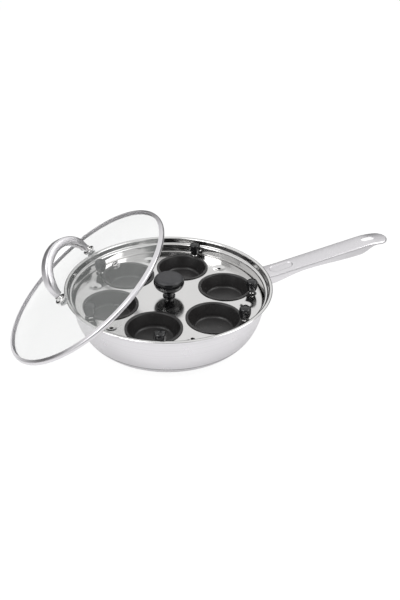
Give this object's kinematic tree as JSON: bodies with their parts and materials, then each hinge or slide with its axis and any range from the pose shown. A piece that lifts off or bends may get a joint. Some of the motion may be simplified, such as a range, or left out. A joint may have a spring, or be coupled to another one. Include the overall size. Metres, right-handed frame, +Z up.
{
  "type": "egg pan",
  "caption": "Wide steel pan with a long stamped handle, a lift-out tray holding round non-stick egg cups with knobs, and a domed glass lid leaning on its rim.",
  "frame": {"origin": "on the table, under the middle of the pan's base", "axes": "+X along the handle, +Z up, +Y to the left of the handle seen from its tip"},
  "size_m": [0.5462, 0.2917, 0.1627],
  "materials": {
    "satin_steel": "satin",
    "polished_steel": "polished",
    "aluminium": "plain",
    "bakelite": "gloss",
    "nonstick": "satin non-stick coating",
    "clear_glass": "clear",
    "silicone": "matt"
  },
  "bodies": {
    "pan": {"pan_body": "satin_steel", "base_core": "aluminium", "base_cap": "satin_steel", "handle": "satin_steel", "handle_bracket": "satin_steel"},
    "tray": {"tray": "polished_steel", "tray_knob": "bakelite", "tray_knob_screw": "polished_steel", "tray_knob_washer": "polished_steel"},
    "lid": {"lid_glass": "clear_glass", "lid_band": "satin_steel", "lid_vent_eyelet": "polished_steel", "bow_handle": "satin_steel", "post_1": "polished_steel", "post_1_outer_seal": "silicone", "post_1_inner_seal": "silicone", "post_1_screw": "polished_steel", "post_2": "polished_steel", "post_2_outer_seal": "silicone", "post_2_inner_seal": "silicone", "post_2_screw": "polished_steel"},
    "cup_1": {"cup_1": "nonstick", "cup_1_stud": "polished_steel", "cup_1_knob": "bakelite"},
    "cup_2": {"cup_2": "nonstick", "cup_2_stud": "polished_steel", "cup_2_knob": "bakelite"},
    "cup_3": {"cup_3": "nonstick", "cup_3_stud": "polished_steel", "cup_3_knob": "bakelite"},
    "cup_4": {"cup_4": "nonstick", "cup_4_stud": "polished_steel", "cup_4_knob": "bakelite"},
    "cup_5": {"cup_5": "nonstick", "cup_5_stud": "polished_steel", "cup_5_knob": "bakelite"},
    "cup_6": {"cup_6": "nonstick", "cup_6_stud": "polished_steel", "cup_6_knob": "bakelite"}
  },
  "joints": [
    {"name": "tray_lift", "type": "slide", "parent": "pan", "child": "tray", "axis": [0, 0, 1], "range_m": [0, 0.018]},
    {"name": "lid_lift", "type": "slide", "parent": "pan", "child": "lid", "axis": [-0.5973, 0.084, 0.7976], "range_m": [0, 0.25]},
    {"name": "cup_1_lift", "type": "slide", "parent": "tray", "child": "cup_1", "axis": [0, 0, 1], "range_m": [0, 0.06]},
    {"name": "cup_2_lift", "type": "slide", "parent": "tray", "child": "cup_2", "axis": [0, 0, 1], "range_m": [0, 0.06]},
    {"name": "cup_3_lift", "type": "slide", "parent": "tray", "child": "cup_3", "axis": [0, 0, 1], "range_m": [0, 0.028]},
    {"name": "cup_4_lift", "type": "slide", "parent": "tray", "child": "cup_4", "axis": [0, 0, 1], "range_m": [0, 0.018]},
    {"name": "cup_5_lift", "type": "slide", "parent": "tray", "child": "cup_5", "axis": [0, 0, 1], "range_m": [0, 0.06]},
    {"name": "cup_6_lift", "type": "slide", "parent": "tray", "child": "cup_6", "axis": [0, 0, 1], "range_m": [0, 0.06]}
  ]
}
